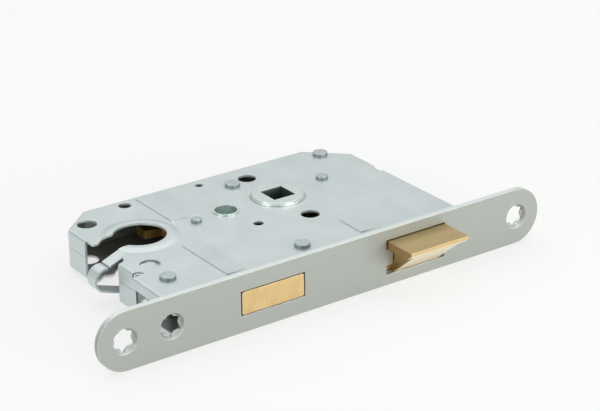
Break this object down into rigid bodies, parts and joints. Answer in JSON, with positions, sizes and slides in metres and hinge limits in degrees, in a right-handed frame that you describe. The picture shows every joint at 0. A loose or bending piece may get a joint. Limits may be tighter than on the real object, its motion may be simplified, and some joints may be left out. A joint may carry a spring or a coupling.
{
  "type": "mortise door lock",
  "caption": "Mortise door lock with a round-ended forend, sprung brass latch, brass deadbolt, spindle follower and euro cylinder hole in a folded steel case.",
  "frame": {"origin": "on the forend's outer face, on its middle line, level with the follower's axis", "axes": "+X along the forend towards the latch end (up when fitted), +Y into the door, +Z through the thickness of the case; the lock lies on its side as pictured"},
  "size_m": [0.174, 0.0913, 0.02],
  "materials": {
    "satin_forend": "satin ground steel",
    "zinc_sheet": "bright zinc-plated sheet",
    "bright_follower": "polished plated casting",
    "zinc_rivet": "zinc-plated, riveted over",
    "latch_brass": "machined brass, lightly ground",
    "yellow_zinc": "yellow-passivated zinc plate",
    "spring_steel": "oiled spring wire"
  },
  "bodies": {
    "case": {"forend": "satin_forend", "upper_case_shell": "zinc_sheet", "lower_case_shell": "zinc_sheet", "through_tube": "bright_follower", "spring_post": "zinc_rivet", "bolt_guide_post": "zinc_rivet", "corner_post": "zinc_rivet", "tumbler_post": "zinc_rivet", "rear_post": "zinc_rivet", "latch_post": "zinc_rivet", "latch_bracket": "zinc_sheet", "latch_spring": "spring_steel", "follower_spring": "spring_steel", "tumbler_spring": "spring_steel"},
    "follower": {"follower": "bright_follower"},
    "latch": {"latch_head": "latch_brass", "latch_tail": "yellow_zinc", "latch_rivets": "zinc_rivet", "latch_rod": "zinc_rivet"},
    "deadbolt": {"deadbolt_head": "latch_brass", "deadbolt_tail": "yellow_zinc", "deadbolt_rivets": "zinc_rivet"},
    "tumbler": {"tumbler": "yellow_zinc", "tumbler_stud": "zinc_rivet"}
  },
  "joints": [
    {"name": "follower_turn", "type": "hinge", "parent": "case", "child": "follower", "pos_m": [0, 0.05, 0], "axis": [0, 0, 1], "range_deg": [0, 45], "stiffness_Nm_per_rad": 0.144, "springref_deg": -31.86, "deforming": ["follower_spring"]},
    {"name": "latch_slide", "type": "slide", "parent": "case", "child": "latch", "axis": [0, 1, 0], "range_m": [0, 0.01256], "deforming": ["latch_spring"]},
    {"name": "deadbolt_slide", "type": "slide", "parent": "case", "child": "deadbolt", "axis": [0, -1, 0], "range_m": [0, 0.014]},
    {"name": "tumbler_lift", "type": "hinge", "parent": "case", "child": "tumbler", "pos_m": [-0.0168, 0.0119, 0], "axis": [0, 0, -1], "range_deg": [0, 3.8], "stiffness_Nm_per_rad": 0.02, "springref_deg": -17.19, "deforming": ["tumbler_spring"]}
  ],
  "couplings": [
    {"joint": "latch_slide", "follows": "follower_turn", "m_per_rad": 0.015981}
  ]
}
